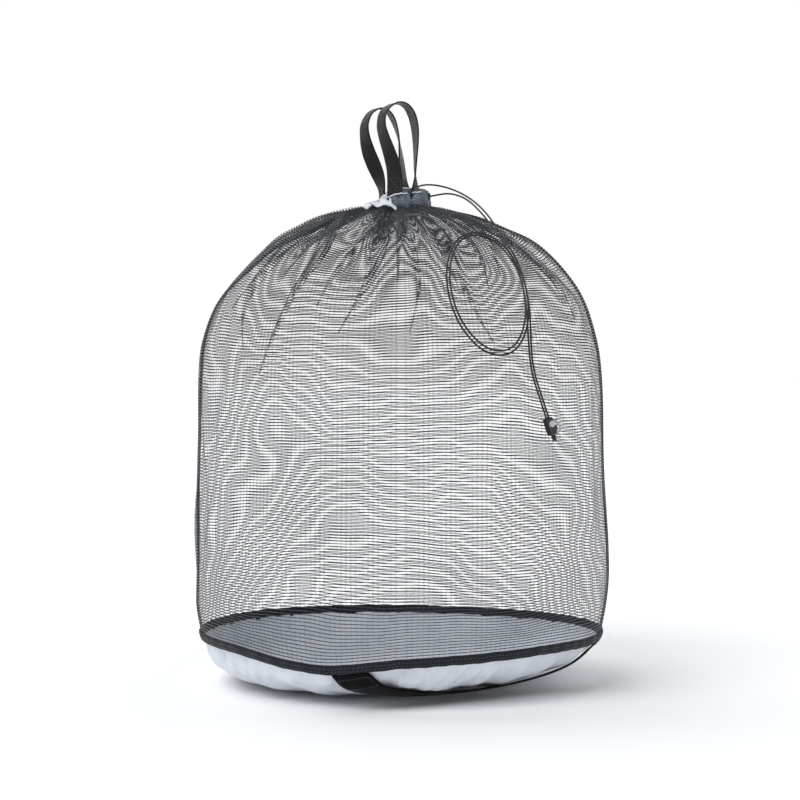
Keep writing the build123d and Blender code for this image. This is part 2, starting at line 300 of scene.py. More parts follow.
# ---- cords: the routes that the CAD model holds, in metres ---------------------------------
CORD_D = 0.0018
STRAND_A = [
    (0.0050, 0.0235, 0.4830), (0.0120, 0.0210, 0.4945), (0.0300, 0.0145, 0.4980),
    (0.0570, -0.0070, 0.4895), (0.0790, -0.0500, 0.4710), (0.0960, -0.0980, 0.4420),
    (0.1145, -0.1287, 0.4075), (0.1208, -0.1587, 0.3620), (0.1060, -0.1785, 0.3280),
    (0.0755, -0.1933, 0.3280), (0.0480, -0.1939, 0.3610), (0.0392, -0.1689, 0.4070),
    (0.0535, -0.1271, 0.4420), (0.0860, -0.1217, 0.4430), (0.1120, -0.1413, 0.4100),
    (0.1192, -0.1642, 0.3730), (0.1195, -0.1714, 0.3440), (0.1218, -0.1669, 0.3150),
    (0.13100, -0.16041, 0.28780),  # added: the long straight end that the lock slides on
    (0.1432, -0.1518, 0.2517),
]
STRAND_B = [
    (0.0238, -0.0033, 0.4830), (0.0360, -0.0045, 0.4855), (0.0490, -0.0090, 0.4870),
    (0.0640, -0.0250, 0.4810), (0.0765, -0.0520, 0.4675), (0.0930, -0.1000, 0.4420),
    (0.1115, -0.1306, 0.4080), (0.1178, -0.1605, 0.3630), (0.1040, -0.1790, 0.3315),
    (0.0770, -0.1928, 0.3320), (0.0510, -0.1934, 0.3620), (0.0422, -0.1693, 0.4065),
    (0.0555, -0.1286, 0.4400), (0.0840, -0.1232, 0.4405), (0.1095, -0.1427, 0.4105),
    (0.1162, -0.1666, 0.3730), (0.1170, -0.1733, 0.3435), (0.1197, -0.1686, 0.3138),
    (0.12913, -0.16194, 0.28590),  # added, the same
    (0.1411, -0.1535, 0.2505),
]
BRAID_SIDES = 16
BRAID_STEP = 0.0009
BRAID_PITCH = 0.0034


def cord_line(name, route):
    """The points of the smooth line that has a cord's route as its control points."""
    data = bpy.data.curves.new(name + "_line", "CURVE")
    data.dimensions = "3D"
    spline = data.splines.new("NURBS")
    spline.points.add(len(route) - 1)
    for point, at in zip(spline.points, route):
        point.co = (*at, 1)
    spline.order_u = 3
    spline.use_endpoint_u = True
    spline.resolution_u = 24
    line = new_object(name + "_line", data)
    bpy.context.view_layer.update()
    shown = line.evaluated_get(bpy.context.evaluated_depsgraph_get())
    points = np.array([v.co[:] for v in bpy.data.meshes.new_from_object(shown).vertices])
    bpy.data.objects.remove(line)
    return points


def braided(path, radius):
    """A round braid: two sets of ridges that cross as they wind along the path."""
    along = distances(path)
    path = read_at(np.linspace(0, along[-1], int(along[-1] / BRAID_STEP)), along, path)
    wind = np.arange(len(path))[:, None] * BRAID_STEP / BRAID_PITCH * TURN
    around = np.linspace(0, TURN, BRAID_SIDES, endpoint=False)[None]
    ridges = np.abs(np.cos(2 * around + wind)) * 0.5 + np.abs(np.cos(2 * around - wind)) * 0.5
    return tube(path, radius, BRAID_SIDES, 0.93 + 0.09 * ridges)


def make_cords(material):
    made = {}
    for name, route in (("drawcord_strand_a", STRAND_A), ("drawcord_strand_b", STRAND_B)):
        path = cord_line(name, route)
        shape = braided(path, CORD_D / 2)
        made[name] = (new_piece(name + "_braid", shape, material, [name]), path)
    return made


# ---- materials -----------------------------------------------------------------------------
BLACK = (0.011, 0.012, 0.015)
WHITE = (0.78, 0.825, 0.90)


def tinted(colour, factor):
    return tuple(min(1.0, c * factor) for c in colour)


class Look:
    """A Principled material with its nodes. settings are the shader's own sockets, such as
    Sheen_Weight. A node's input is a value, or another node's output, which is then linked."""

    def __init__(self, name, colour, roughness, **settings):
        self.material = bpy.data.materials.new(name)
        self.material.use_nodes = True
        self.material.diffuse_color = (*colour, 1)
        self.tree = self.material.node_tree
        self.shader = self.tree.nodes["Principled BSDF"]
        self.set(self.shader, {"Base Color": (*colour, 1), "Roughness": roughness})
        self.set(self.shader, {key.replace("_", " "): value for key, value in settings.items()})
        self.where = self.add("TexCoord").outputs["Object"]

    def set(self, node, inputs):
        for key, value in inputs.items():
            if isinstance(value, bpy.types.NodeSocket):
                self.tree.links.new(value, node.inputs[key])
            else:
                node.inputs[key].default_value = value

    def add(self, kind, inputs=None, **settings):
        node = self.tree.nodes.new("ShaderNode" + kind)
        for key, value in settings.items():
            setattr(node, key, value)
        self.set(node, inputs or {})
        return node

    def noise(self, scale, detail=3.0, roughness=0.55, coords=None):
        inputs = {"Vector": coords or self.where, "Scale": scale, "Detail": detail,
                  "Roughness": roughness}
        return self.add("TexNoise", inputs).outputs["Fac"]

    def bands(self, direction, pitch, distortion=0.0):
        """Parallel bands of that pitch, in metres, across X, Y or DIAGONAL of the cloth."""
        scale = math.pi / 10 / pitch  # a wave node's bands repeat every pi / 10 over its scale
        if direction == "DIAGONAL":
            scale *= math.sqrt(2)
        cloth = self.add("UVMap", uv_map="cloth").outputs["UV"]
        inputs = {"Vector": cloth, "Scale": scale, "Distortion": distortion, "Detail": 1.0,
                  "Detail Scale": 1.5}
        return self.add("TexWave", inputs, bands_direction=direction).outputs["Fac"]

    def mix(self, how, a, b):
        return self.add("Math", {0: a, 1: b}, operation=how).outputs[0]

    def times(self, a, b):
        return self.mix("MULTIPLY", a, b)

    def plus(self, a, b):
        return self.mix("ADD", a, b)

    def spread(self, value, low, high):
        """value, which runs from 0 to 1, spread over low to high."""
        return self.add("MapRange", {"Value": value, "To Min": low, "To Max": high}).outputs[0]

    def colour(self, value, *stops):
        node = self.add("ValToRGB", {"Fac": value})
        elements = node.color_ramp.elements
        while len(elements) < len(stops):
            elements.new(0.5)
        for element, (at, colour) in zip(elements, stops):
            element.position = at
            element.color = (*colour, 1)
        self.set(self.shader, {"Base Color": node.outputs["Color"]})

    def rough(self, value, low, high):
        self.set(self.shader, {"Roughness": self.spread(value, low, high)})

    def bump(self, height, distance, strength):
        inputs = {"Height": height, "Distance": distance, "Strength": strength}
        self.set(self.shader, {"Normal": self.add("Bump", inputs).outputs["Normal"]})


def net_material():
    """Warp-knitted polyester net: dark slate thread, paler in random patches, partly its own tone
    and partly a painted sheen.
    """
    look = Look("net_thread", (0.022, 0.026, 0.034), 0.42, Sheen_Weight=0.15,
                Sheen_Roughness=0.35, Specular_IOR_Level=0.45)
    # paler threads in random patches: partly the thread's own tone, partly painted sheen
    look.colour(look.times(look.noise(9, 4), look.noise(240, 2)), (0.12, (0.010, 0.012, 0.017)),
                (0.30, (0.024, 0.029, 0.039)), (0.52, (0.075, 0.084, 0.102)))
    look.rough(look.noise(60), 0.34, 0.56)
    return look.material


def thread_material(name, colour):
    look = Look(name, colour, 0.5, Sheen_Weight=0.3)
    fibre = look.noise(1400, 2)
    look.colour(fibre, (0.3, tinted(colour, 0.6)), (0.7, tinted(colour, 1.7)))
    look.rough(fibre, 0.42, 0.62)
    return look.material


def base_material():
    """White coated plain weave, faintly blue, a little greyer in random patches."""
    look = Look("coated_weave", WHITE, 0.5, Sheen_Weight=0.25, Sheen_Roughness=0.4,
                Specular_IOR_Level=0.4)
    weave = look.times(look.bands("X", 0.0006), look.bands("Y", 0.0006))
    ripstop = look.mix("MAXIMUM", look.bands("X", 0.006), look.bands("Y", 0.006))
    grid = look.mix("GREATER_THAN", ripstop, 0.985)
    look.colour(look.times(look.noise(14, 5), look.noise(55, 4)), (0.10, (0.68, 0.735, 0.83)),
                (0.24, (0.81, 0.855, 0.93)), (0.45, (0.88, 0.915, 0.965)))
    look.rough(look.noise(30), 0.42, 0.62)
    crumple = look.times(look.noise(60, 6), 4.0)
    look.bump(look.plus(look.plus(weave, look.times(grid, 1.2)), crumple), 0.00035, 0.7)
    return look.material


def ribbed_tape_material(name, rib):
    """Black grosgrain with ribs across it."""
    look = Look(name, BLACK, 0.62, Sheen_Weight=0.06, Sheen_Roughness=0.3,
                Specular_IOR_Level=0.22)
    ribs, fuzz = look.bands("Y", rib), look.noise(700, 3)
    look.colour(look.plus(look.times(ribs, 0.5), look.times(fuzz, 0.5)),
                (0.25, (0.004, 0.006, 0.009)), (0.6, (0.011, 0.015, 0.021)),
                (0.85, (0.030, 0.037, 0.048)))
    look.rough(fuzz, 0.52, 0.74)
    look.bump(look.plus(ribs, look.times(fuzz, 0.35)), 0.0004, 0.9)
    return look.material


def webbing_material(name, tone, shine):
    """Black polyester webbing: a fine twill, dull or with a soft shine."""
    look = Look(name, tinted(BLACK, tone), 0.34, Sheen_Weight=0.5 * shine, Sheen_Roughness=0.3,
                Specular_IOR_Level=0.05 + 0.25 * shine)
    relief = look.plus(look.times(look.bands("DIAGONAL", 0.0013), 0.6),
                       look.times(look.bands("X", 0.0009), 0.5))
    fuzz = look.noise(900, 3)
    look.colour(look.times(relief, fuzz), (0.08, tinted((0.005, 0.005, 0.006), tone)),
                (0.3, tinted((0.015, 0.015, 0.017), tone)),
                (0.6, tinted((0.044, 0.045, 0.050), tone)))
    look.rough(fuzz, 0.24, 0.42)
    look.bump(look.plus(relief, look.times(fuzz, 0.3)), 0.0004, 0.8)
    return look.material


def casing_material():
    """Two layers of the net lying on each other, so that hardly any light comes through. Its raised
    threads are painted pale blue-grey, a painted highlight.
    """
    look = Look("casing_net", (0.03, 0.035, 0.045), 0.5, Sheen_Weight=0.2, Sheen_Roughness=0.3)
    relief = look.mix("MAXIMUM", look.bands("Y", 0.0016, 0.5),
                      look.times(look.bands("X", 0.0024, 0.8), 0.75))
    # colour rises with the relief: the raised threads get a painted highlight
    look.colour(look.times(relief, look.spread(look.noise(120, 4), 0.5, 1.4)),
                (0.25, (0.016, 0.022, 0.032)), (0.6, (0.092, 0.115, 0.148)),
                (1.0, (0.34, 0.40, 0.48)))
    look.rough(relief, 0.7, 0.42)
    look.bump(relief, 0.0007, 1.0)
    return look.material


def facing_material():
    """Thin white lining, crumpled where the cord draws it in; its colour darkens where the crumple
    sinks, painted shade in the hollows.
    """
    look = Look("facing_fabric", (0.72, 0.75, 0.80), 0.42, Sheen_Weight=0.1, Sheen_Roughness=0.3)
    crumple = look.noise(190, 6, 0.65)
    # the crumple that sinks the bump also darkens the colour: painted shade in the hollows
    look.colour(crumple, (0.30, (0.40, 0.43, 0.49)), (0.46, (0.68, 0.71, 0.76)),
                (0.70, (0.82, 0.84, 0.87)))
    look.rough(look.noise(90), 0.34, 0.55)
    look.bump(look.plus(crumple, look.times(look.noise(900, 3), 0.2)), 0.0012, 0.8)
    return look.material


def cord_material():
    """Round braided cord, black with a dull shine."""
    look = Look("cord_braid", (0.008, 0.008, 0.010), 0.42, Sheen_Weight=0.05,
                Specular_IOR_Level=0.4)
    look.colour(look.noise(1600, 2), (0.3, (0.004, 0.004, 0.005)),
                (0.55, (0.010, 0.010, 0.012)), (0.8, (0.034, 0.035, 0.039)))
    look.rough(look.noise(500), 0.3, 0.5)
    return look.material


def moulded_material(name, colour, roughness, grain, coat):
    """Moulded plastic with a fine spark-eroded grain, and dust-fine scuffs."""
    look = Look(name, colour, roughness, Coat_Weight=coat, Coat_Roughness=0.18)
    scuffs = look.noise(420, 5, 0.7)
    look.colour(scuffs, (0.35, tinted(colour, 0.75)), (0.62, colour),
                (0.8, tuple(c * 1.25 + 0.012 for c in colour)))
    look.rough(scuffs, roughness - 0.07, roughness + 0.2)
    look.bump(look.noise(grain, 2), 0.00005, 0.6)
    return look.material


def plated_material(name, colour, roughness, scratch):
    """Plated wire: bright, with fine lines from polishing and duller spots from handling."""
    look = Look(name, colour, roughness, Metallic=1.0)
    handled = look.noise(380, 5, 0.6)
    look.colour(handled, (0.35, tinted(colour, 0.78)), (0.55, colour),
                (0.75, tinted(colour, 1.08)))
    look.rough(handled, roughness * 0.6, roughness * 2.0)
    stretched = look.add("Mapping", {"Vector": look.where, "Scale": (1, 1, 6)}).outputs[0]
    look.bump(look.noise(scratch, 3, coords=stretched), 0.00002, 0.5)
    return look.material


def floor_material():
    look = Look("studio_floor", (0.96, 0.96, 0.96), 0.8, Specular_IOR_Level=0.2)
    look.colour(look.noise(2, 4), (0.3, (0.950, 0.950, 0.952)), (0.7, (0.970, 0.970, 0.970)))
    return look.material


# ---- the shape of the filled bag -----------------------------------------------------------
OUTLINE = [  # radius and height of the net, from the binding to the neck
    (0.2000, 0.0472), (0.2046, 0.0760), (0.2055, 0.1200), (0.2035, 0.2100), (0.2020, 0.3000),
    (0.1960, 0.3460), (0.1780, 0.3890), (0.1370, 0.4305), (0.1040, 0.4490), (0.0700, 0.4630),
    (0.0240, 0.4740),
]
PROFILE_STEPS = 500
PROFILE = catmull(OUTLINE, PROFILE_STEPS)
ALONG = np.linspace(0, 1, PROFILE_STEPS)
PROFILE_LENGTH = float(distances(PROFILE)[-1])
PROFILE_OUT = unit(np.stack([np.gradient(PROFILE[:, 1]), -np.gradient(PROFILE[:, 0])], -1))
NET_TOP = 0.985  # share of that outline at which the net goes into the casing

BASE_TOP = 0.040
BASE_SECTIONS = [  # height, radius, and how far the middle stands off to +X
    (0.000, 0.074, -0.040), (0.003, 0.117, -0.032), (0.010, 0.153, -0.021),
    (0.022, 0.183, -0.009), (0.040, 0.198, 0.000),
]
BASE = catmull(BASE_SECTIONS, 200)
BASE_SHARES = np.linspace(0, 1, len(BASE))
SEAM_R = BASE_SECTIONS[-1][1]
SEAM_LIFT = [  # how far the seam round the base stands off its mean height, by angle in degrees
    (-180, 0.005), (-144, 0.005), (-122, -0.003), (-109, -0.0055), (-90, 0.0015), (-68, 0.005),
    (-46, 0.0072), (-24, 0.0062), (0, 0.0055), (35, 0.003), (70, 0.001), (105, 0.0025),
    (140, 0.0045), (180, 0.005),
]
DEGREE = 0.001  # what a degree counts as, beside a lift in metres, where that line is smoothed
LIFT_STEPS = 900


def outline_radius(v):
    return np.interp(v, ALONG, PROFILE[:, 0])


def seam_lift(theta):
    lift = np.array(SEAM_LIFT)
    around = np.concatenate([lift[-4:-1] - (360, 0), lift, lift[1:4] + (360, 0)])
    line = catmull(around * (DEGREE, 1), LIFT_STEPS) / (DEGREE, 1)
    degrees = (np.degrees(theta) + 180) % 360 - 180
    return np.interp(degrees, line[:, 0], line[:, 1])


# Folds that the drawcord gathers, each as (angle in degrees, share of the outline) from the neck
# down, then the flap's width, and the side that it is laid to.
TUCKS = [
    ([(-112, 0.97), (-104.5, 0.86), (-101, 0.76), (-101.5, 0.66), (-107, 0.575)], 0.015, 1),
    ([(-96, 0.97), (-89, 0.85), (-84.5, 0.74), (-84.2, 0.66), (-87.5, 0.575)], 0.010, -1),
    ([(-134, 0.97), (-122, 0.84), (-117, 0.74), (-122, 0.64), (-131, 0.50)], 0.017, -1),
    ([(-152, 0.97), (-149, 0.85), (-146, 0.72), (-150, 0.62)], 0.012, 1),
    ([(-72, 0.97), (-66, 0.86), (-62, 0.75), (-63, 0.66)], 0.011, 1),
    ([(-48, 0.97), (-44, 0.87), (-38, 0.76), (-33, 0.67), (-31, 0.60)], 0.013, -1),
    ([(-22, 0.97), (-20, 0.86), (-14, 0.76), (-11, 0.70)], 0.010, 1),
    ([(-170, 0.97), (-171, 0.86), (-175, 0.74), (-174, 0.66)], 0.011, -1),
    ([(14, 0.97), (18, 0.86), (23, 0.76), (22, 0.64)], 0.013, 1),
    ([(38, 0.97), (40, 0.87), (46, 0.78), (49, 0.71)], 0.010, -1),
    ([(60, 0.97), (63, 0.85), (66, 0.74), (64, 0.62), (60, 0.55)], 0.015, 1),
    ([(84, 0.97), (86, 0.87), (90, 0.77), (91, 0.69)], 0.010, 1),
    ([(106, 0.97), (109, 0.86), (115, 0.75), (119, 0.63)], 0.014, -1),
    ([(128, 0.97), (130, 0.86), (134, 0.77), (139, 0.70)], 0.011, 1),
    ([(150, 0.97), (152, 0.86), (155, 0.74), (151, 0.61), (147, 0.54)], 0.014, -1),
    ([(171, 0.97), (168, 0.88), (166, 0.79), (168, 0.72)], 0.010, 1),
]
TUCK_RIDGE = 0.0028
TUCK_SPREAD = 0.0065
RADIAN = 0.12  # what a radian counts as, beside metres of the outline, where a tuck is smoothed


def tuck_line(tuck, count):
    """Evenly spaced (angle, share) along a tuck, in radians."""
    scale = (RADIAN, PROFILE_LENGTH)
    return catmull([(math.radians(a) * RADIAN, v * PROFILE_LENGTH) for a, v in tuck[0]],
                   count) / scale


def tuck_ridges(theta, v):
    """How far the net stands off where a tuck's root lifts it."""
    radius = outline_radius(v)
    wide = TUCK_SPREAD * (1 - 0.55 * rise(v, 0.8, 0.18))
    tall = TUCK_RIDGE * (1 - 0.7 * rise(v, 0.86, 0.12))
    lift = np.zeros(np.broadcast(theta, v).shape)
    for tuck in TUCKS:
        line = tuck_line(tuck, 60)[::-1]
        low, high = line[0, 1], line[-1, 1]
        away = turn_from(theta, np.interp(v, line[:, 1], line[:, 0])) * radius / wide
        lift = lift + tall * rise(v, low, 0.09) * np.exp(-(away**2)) * (v < high + 0.02)
    return lift


def gathers(theta, v):
    """The wavy relief that the gathered neck sends down the net."""
    broad = np.sin(9 * theta + 0.9 * np.sin(2 * theta + 0.6) + 1.4 * v)
    fine = np.sin(21 * theta + 1.3 * np.sin(3 * theta + 2.0) - 3.0 * v)
    broad_height = 0.0034 * rise(v, 0.54, 0.2) * (1 - rise(v, 0.88, 0.1))
    fine_height = 0.0016 * rise(v, 0.72, 0.16) * (1 - 0.35 * rise(v, 0.9, 0.1))
    return broad_height * broad + fine_height * fine


def lumps(theta, v):
    """Low bulges where the load presses on the net, and slack between them."""
    body = rise(v, 0, 0.1) * (1 - rise(v, 0.7, 0.2))
    waves = (
        0.0016 * np.sin(3 * theta + 0.7) * np.sin(9.5 * v + 0.4)
        + 0.0013 * np.sin(5 * theta - 1.1 + 4 * v) * np.sin(15 * v + 1.9)
        + 0.0010 * np.sin(8 * theta + 2.2 - 7 * v)
        + 0.0006 * np.sin(17 * theta + 11 * v) * np.sin(6 * v + 1)
    )
    return body * (waves - 0.0012)


# Soft folds down the slack net: angle at the foot and the head in degrees, the same in shares of
# the outline, and each one's width and height.
DRAPES = [
    (-171, -158, 0.10, 0.62, 0.016, 0.0034), (-159, -149, 0.06, 0.50, 0.011, 0.0026),
    (-141, -150, 0.16, 0.66, 0.014, 0.0030), (-127, -133, 0.05, 0.46, 0.010, 0.0024),
    (-118, -108, 0.22, 0.60, 0.012, 0.0024), (-96, -101, 0.08, 0.44, 0.013, 0.0020),
    (-74, -80, 0.18, 0.56, 0.012, 0.0020), (-30, -22, 0.10, 0.62, 0.013, 0.0026),
    (-12, -9, 0.08, 0.40, 0.010, 0.0022), (12, 18, 0.14, 0.60, 0.015, 0.0028),
    (34, 27, 0.06, 0.48, 0.011, 0.0024), (57, 66, 0.20, 0.66, 0.014, 0.0028),
    (81, 76, 0.07, 0.44, 0.011, 0.0024), (98, 107, 0.16, 0.62, 0.013, 0.0026),
    (124, 119, 0.08, 0.50, 0.014, 0.0028), (147, 155, 0.14, 0.64, 0.012, 0.0026),
    (166, 170, 0.06, 0.46, 0.010, 0.0022),
]
CORD_HANGS_AT = math.radians(-50)


def drapes(theta, v):
    """Ridges that a hand would leave in the slack net, steeper on one side than on the other."""
    radius = outline_radius(v)
    total = np.zeros(np.broadcast(theta, v).shape)
    for foot, head, low, high, wide, tall in DRAPES:
        t = (v - low) / (high - low)
        at = np.radians(foot + (head - foot) * t + 3 * np.sin(5 * t + foot))
        away = turn_from(theta, at) * radius / wide
        ridge = np.exp(-np.where(away > 0, 1.0, 3.2) * away**2)
        hollow = 0.35 * np.exp(-(((away - 1.9) / 0.9) ** 2))
        total = total + tall * (ridge - hollow) * rise(t, 0, 0.3) * (1 - rise(t, 0.65, 0.35))
    return total


def bag_surface(theta, v, out=0.0):
    """Points on the net at plan angles and shares of its outline, or out from it, in metres."""
    theta, v = np.broadcast_arrays(np.asarray(theta, float), np.asarray(v, float))
    beside_cord = rise(np.abs(turn_from(theta, CORD_HANGS_AT)), 0.12, 0.2)
    loose = (lumps(theta, v) + drapes(theta, v)) * (0.25 + 0.75 * beside_cord)
    push = out + loose + gathers(theta, v) + tuck_ridges(theta, v)
    radius, height = (np.interp(v, ALONG, line) + np.interp(v, ALONG, away) * push
                      for line, away in zip(PROFILE.T, PROFILE_OUT.T))
    return around_axis(radius, theta, height + seam_lift(theta) * (1 - rise(v, 0, 0.16)))


def surface_normal(theta, v):
    """Unit normals of that surface, pointing out of the bag."""
    step = 1e-3
    around = bag_surface(theta + step, v) - bag_surface(theta - step, v)
    up = bag_surface(theta, np.minimum(v + step, 1)) - bag_surface(theta, np.maximum(v - step, 0))
    return unit(np.cross(around, up))


# ---- net -----------------------------------------------------------------------------------
ROW_PITCH = 0.0030
ROW_WIDTH, ROW_THICK = 0.00072, 0.00046
ROW_SECTION = np.array([(1, 1), (-1, 1), (-1, -1), (1, -1)]) * (ROW_WIDTH / 2, ROW_THICK / 2)
COLUMN_R = 0.00014
COLUMN_SECTION = COLUMN_R * np.array(
    [(math.cos(a), math.sin(a)) for a in np.radians([90, 210, 330])])
COLUMNS = 252  # threads up the bag, all round it
ZIGZAG = 0.22  # of the space between two of them


def row_threads(points, normal):
    """Flat threads along rows of points."""
    along = unit(np.gradient(points, axis=1))
    return threads(points, unit(np.cross(normal, along)), normal, ROW_SECTION)


def column_threads(points, normal):
    """Thin threads that climb through rows of points."""
    points, normal = points.transpose(1, 0, 2), normal.transpose(1, 0, 2)
    side = unit(np.cross(unit(np.gradient(points, axis=1)), normal))
    return threads(points, side, normal, COLUMN_SECTION)


def row_drift(theta, v):
    """How far the rows wander up or down, as shares of the outline, where the cloth is pulled."""
    free = rise(v, 0, 0.06) * (1 - rise(v, 0.9, 0.08))
    broad = (
        0.0060 * np.sin(3 * theta + 2.1) * np.sin(7 * v + 0.9)
        + 0.0042 * np.sin(5 * theta + 4.4 * v + 0.5) * np.sin(12 * v + 2.6)
        + 0.0030 * np.sin(9 * theta - 6 * v + 1.7) * np.sin(17 * v + 0.3)
    )
    local = 0.0013 * np.sin(16 * theta + 23 * v) * np.sin(11 * theta - 31 * v + 1.1)
    return free * (broad + local)


def net_quarter(start):
    """The threads of a quarter of the net from plan angle start, both edges included."""
    count = COLUMNS // 4
    step = TURN / COLUMNS
    rows = int(PROFILE_LENGTH * NET_TOP / ROW_PITCH)
    v = np.linspace(0.002, NET_TOP, rows)[:, None]
    column = np.arange(count + 1)
    zigzag = ZIGZAG * step * (-1.0) ** (np.arange(rows)[:, None] + column)
    zigzag[:, [0, -1]] = 0
    angles = start + step * column + zigzag
    shares = np.clip(v + row_drift(angles, v), 0, 0.999)
    points, normal = bag_surface(angles, shares), surface_normal(angles, shares)
    behind = points - normal * ROW_THICK * 0.2
    shape = join_parts([row_threads(points, normal),
                        column_threads(behind[:, 1:-1], normal[:, 1:-1])])
    uv = np.stack([(angles - start) / (step * count), shares], -1)
    climb = uv[:, 1:-1].transpose(1, 0, 2)
    return shape, np.concatenate([np.repeat(uv.reshape(-1, 2), len(ROW_SECTION), 0),
                                  np.repeat(climb.reshape(-1, 2), len(COLUMN_SECTION), 0)])


def make_net(material):
    names = ("net_front_left", "net_front_right", "net_back_right", "net_back_left")
    for quarter, name in enumerate(names):
        shape, uv = net_quarter(quarter * math.pi / 2 - math.pi)
        node = "mesh_front_panel" if quarter < 2 else "mesh_back_panel"
        new_piece(name, shape, material, [node], uv=uv, uv_name="OFBake", smooth=False)


FLAP_POINTS = 90
FLAP_ACROSS = np.array([-0.12, 0.12, 0.36, 0.6, 0.82, 0.97, 1.0])  # shares of a flap's width
FLAP_HEIGHT = np.array([0.0002, 0.0016, 0.0024, 0.0026, 0.0024, 0.0016, 0.0008])


def tuck_flap(tuck):
    """A fold of the net laid over to one side: threads across it, threads along it, its edge."""
    _, width, side = tuck
    line = tuck_line(tuck, FLAP_POINTS)
    v = line[:, 1:]
    t = np.linspace(0, 1, FLAP_POINTS)[:, None]
    wide = width * np.sqrt(np.clip(t / 0.22, 0.16, 1)) * (1 - 0.9 * rise(t, 0.4, 0.6))
    theta = line[:, :1] + side * FLAP_ACROSS * wide / outline_radius(v)
    points = bag_surface(theta, v, 0.0004 + FLAP_HEIGHT * np.minimum(wide / 0.006, 1))
    normal = surface_normal(theta, v)
    rows = max(8, int(distances(points[:, 2])[-1] / ROW_PITCH))
    at = np.linspace(0, FLAP_POINTS - 1, rows)
    crossing, facing = (
        np.stack([read_at(at, np.arange(FLAP_POINTS), line) for line in grid.transpose(1, 0, 2)], 1)
        for grid in (points, normal))
    fades = np.repeat(1 - 0.8 * rise(t[::2], 0.3, 0.7), 5, 1)
    return join_parts([
        row_threads(crossing, unit(facing)),
        column_threads(points[:, [2, 4]], normal[:, [2, 4]]),
        tube(points[::2, 6], ROW_THICK * 0.8, 5, fades),
    ])


def make_tucks(material):
    verts, faces = join_parts([tuck_flap(tuck) for tuck in TUCKS])
    uv = np.stack([np.arctan2(verts[:, 1], verts[:, 0]) / TURN + 0.5, verts[:, 2]], -1)
    new_piece("net_tucks", (verts, faces), material, uv=uv, uv_name="OFBake", smooth=False)


# ---- side seams ----------------------------------------------------------------------------
SEAM_HALF_WIDTH, SEAM_HALF_THICK = 0.0042, 0.0009
SEAM_ROWS = 260


def make_side_seams(tape, thread):
    v = np.linspace(0.0, NET_TOP, SEAM_ROWS)[:, None]
    s = np.linspace(-1, 1, 9)
    radius = outline_radius(v)
    across = s * np.minimum(SEAM_HALF_WIDTH, 0.35 * radius)
    pad = SEAM_HALF_THICK + 0.0004 * (1 - s**2)
    for name, middle in (("right", 0.0), ("left", math.pi)):
        strays = 0.0022 * np.sin(9 * v + 2 * middle) * rise(v, 0, 0.1) * (1 - rise(v, 0.7, 0.2))
        theta = middle + (across + strays) / radius
        outer, normal = bag_surface(theta, v, pad), surface_normal(theta, v)
        new_piece(f"seam_tape_{name}", closed_sheet(outer, bag_surface(theta, v, -pad)), tape,
                  [f"side_seam_{name}"], uv=sheet_uv(across, v * PROFILE_LENGTH))
        rows = [stitches(outer[:, i], normal[:, i], 0.0026, 0.00035, 0.0012) for i in (1, 7)]
        add_stitches(f"seam_stitches_{name}", rows, thread)


# ---- base, binding and strap ---------------------------------------------------------------
def base_at(phi, q):
    """Points on the outside of the base at plan angles and shares of the way up it."""
    height, radius, shift = (np.interp(q, BASE_SHARES, column) for column in BASE.T)
    lift = seam_lift(phi) * rise(height, 0.004, BASE_TOP - 0.004)
    return np.stack([shift + radius * np.cos(phi), radius * np.sin(phi), height + lift], -1)


def base_out(phi, q):
    """Unit vectors out of the base there."""
    slope = unit(np.gradient(BASE[:, :2], BASE_SHARES, axis=0))
    outward, down = np.interp(q, BASE_SHARES, slope[:, 0]), -np.interp(q, BASE_SHARES, slope[:, 1])
    return around_axis(outward, phi, down)


def puckers(phi, q):
    """How far the white cloth is drawn in: short pleats under the seam, and long slack folds."""
    short = 0.5 + 0.5 * np.sin(46 * phi + 2.2 * np.sin(5 * phi) + 1.6 * np.sin(11 * phi + 1))
    long = 0.5 + 0.5 * np.sin(13 * phi + 1.7 * np.sin(3 * phi + 1) + 5 * q)
    diagonal = 0.5 + 0.5 * np.sin(24 * phi + 16 * q + 1.2 * np.sin(7 * phi))
    near_seam, slack = rise(q, 0.52, 0.4), rise(q, 0.1, 0.35)
    drawn = (0.0032 * short**2 * near_seam + 0.0030 * long * slack * (1 - 0.5 * near_seam)
             + 0.0022 * diagonal * slack)
    return drawn * (1 - 0.75 * rise(q, 0.93, 0.06))


BASE_ROUND, BASE_UP = 720, 60
BASE_WALL = 0.0012


def make_base(material):
    phi = np.linspace(0, TURN, BASE_ROUND, endpoint=False)[None]
    q = np.linspace(0, 1, BASE_UP)[:, None] ** 0.85
    phi, q = np.broadcast_arrays(phi, q)
    out = base_out(phi, q)
    outer = base_at(phi, q) - out * puckers(phi, q)[..., None]
    inner = outer - out * BASE_WALL
    outer[..., 2] = np.maximum(outer[..., 2], 0.0)
    inner[..., 2] = np.maximum(inner[..., 2], outer[..., 2] + 0.0004)
    verts, walls, rim, on = ring_sheet(outer, inner)
    under = len(verts)
    floor = np.stack([on, rim, np.full(BASE_ROUND, under)], -1)
    inside = np.stack([rim, on, np.full(BASE_ROUND, under // 2 + 1)], -1) + under // 2
    x = BASE_SECTIONS[0][2]
    verts = np.concatenate([verts, [(x, 0, 0), (x, 0, BASE_WALL)]])
    piece = new_piece("base_cloth", (verts, [walls, np.concatenate([floor, inside])]), material,
                      ["base_panel"], uv=verts[:, :2])


BINDING_PROFILE = [  # out from the seam's radius, and up from the seam, for tape folded over it
    (0.0002, -0.0006), (0.0016, -0.0002), (0.0025, 0.0020), (0.0033, 0.0050), (0.0037, 0.0078),
    (0.0031, 0.0087), (0.0019, 0.0085), (0.0008, 0.0056), (-0.0006, 0.0026), (-0.0014, 0.0000),
]
BINDING_ROUND = 720


